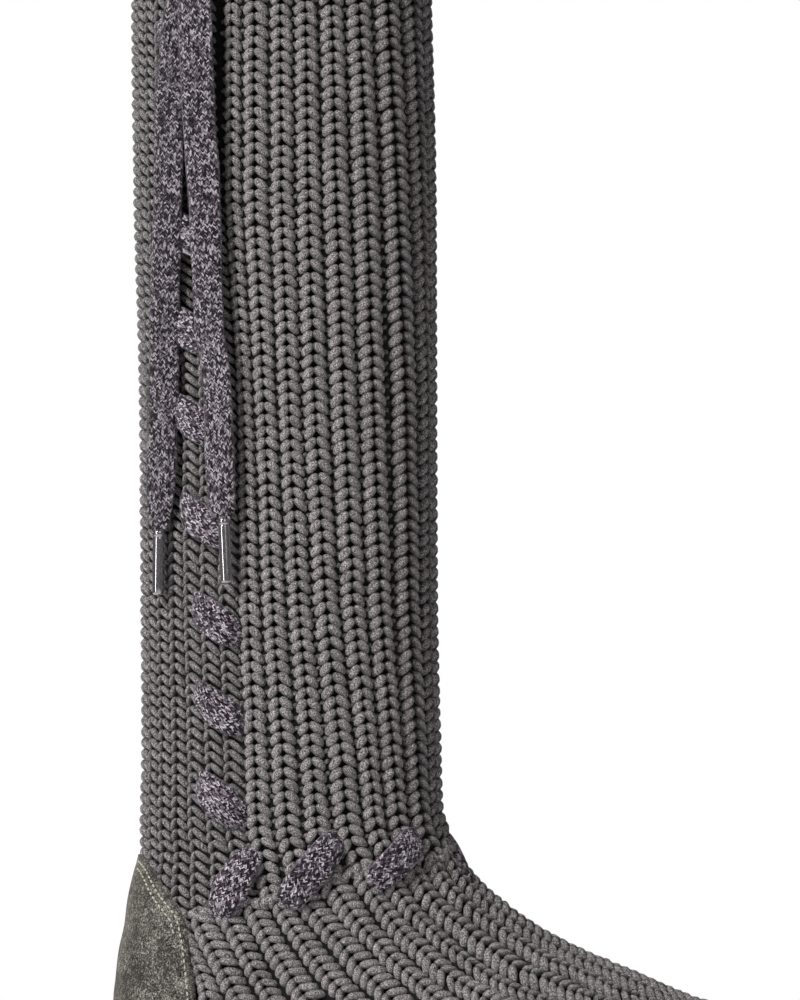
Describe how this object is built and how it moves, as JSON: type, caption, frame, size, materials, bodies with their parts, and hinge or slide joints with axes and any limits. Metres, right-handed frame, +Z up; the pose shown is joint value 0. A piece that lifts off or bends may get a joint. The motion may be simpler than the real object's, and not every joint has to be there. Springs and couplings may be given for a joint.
{
  "type": "knit boot",
  "caption": "Tall chunky rib-knit boot for the right foot on a moulded sole, with a suede heel counter and a flat lace threaded down the outer side and round the ankle.",
  "frame": {"origin": "on the ground under the middle of the boot's footprint box", "axes": "+Z up, +X towards the toe, -Y the wearer's outer side"},
  "size_m": [0.2626, 0.1012, 0.466],
  "materials": {
    "knit": "matte chunky rib knit",
    "sole": "satin moulded",
    "insole": "short felted pile",
    "suede": "brushed suede nap",
    "lace": "flat heathered weave",
    "aglet": "gloss"
  },
  "bodies": {
    "root": {"upper": "knit", "outsole": "sole", "insole": "insole", "heel_counter": "suede", "lace_run": "lace", "lace_knot": "lace", "lace_end_front": "lace", "lace_end_rear": "lace", "aglet_front": "aglet", "aglet_rear": "aglet"}
  },
  "joints": []
}
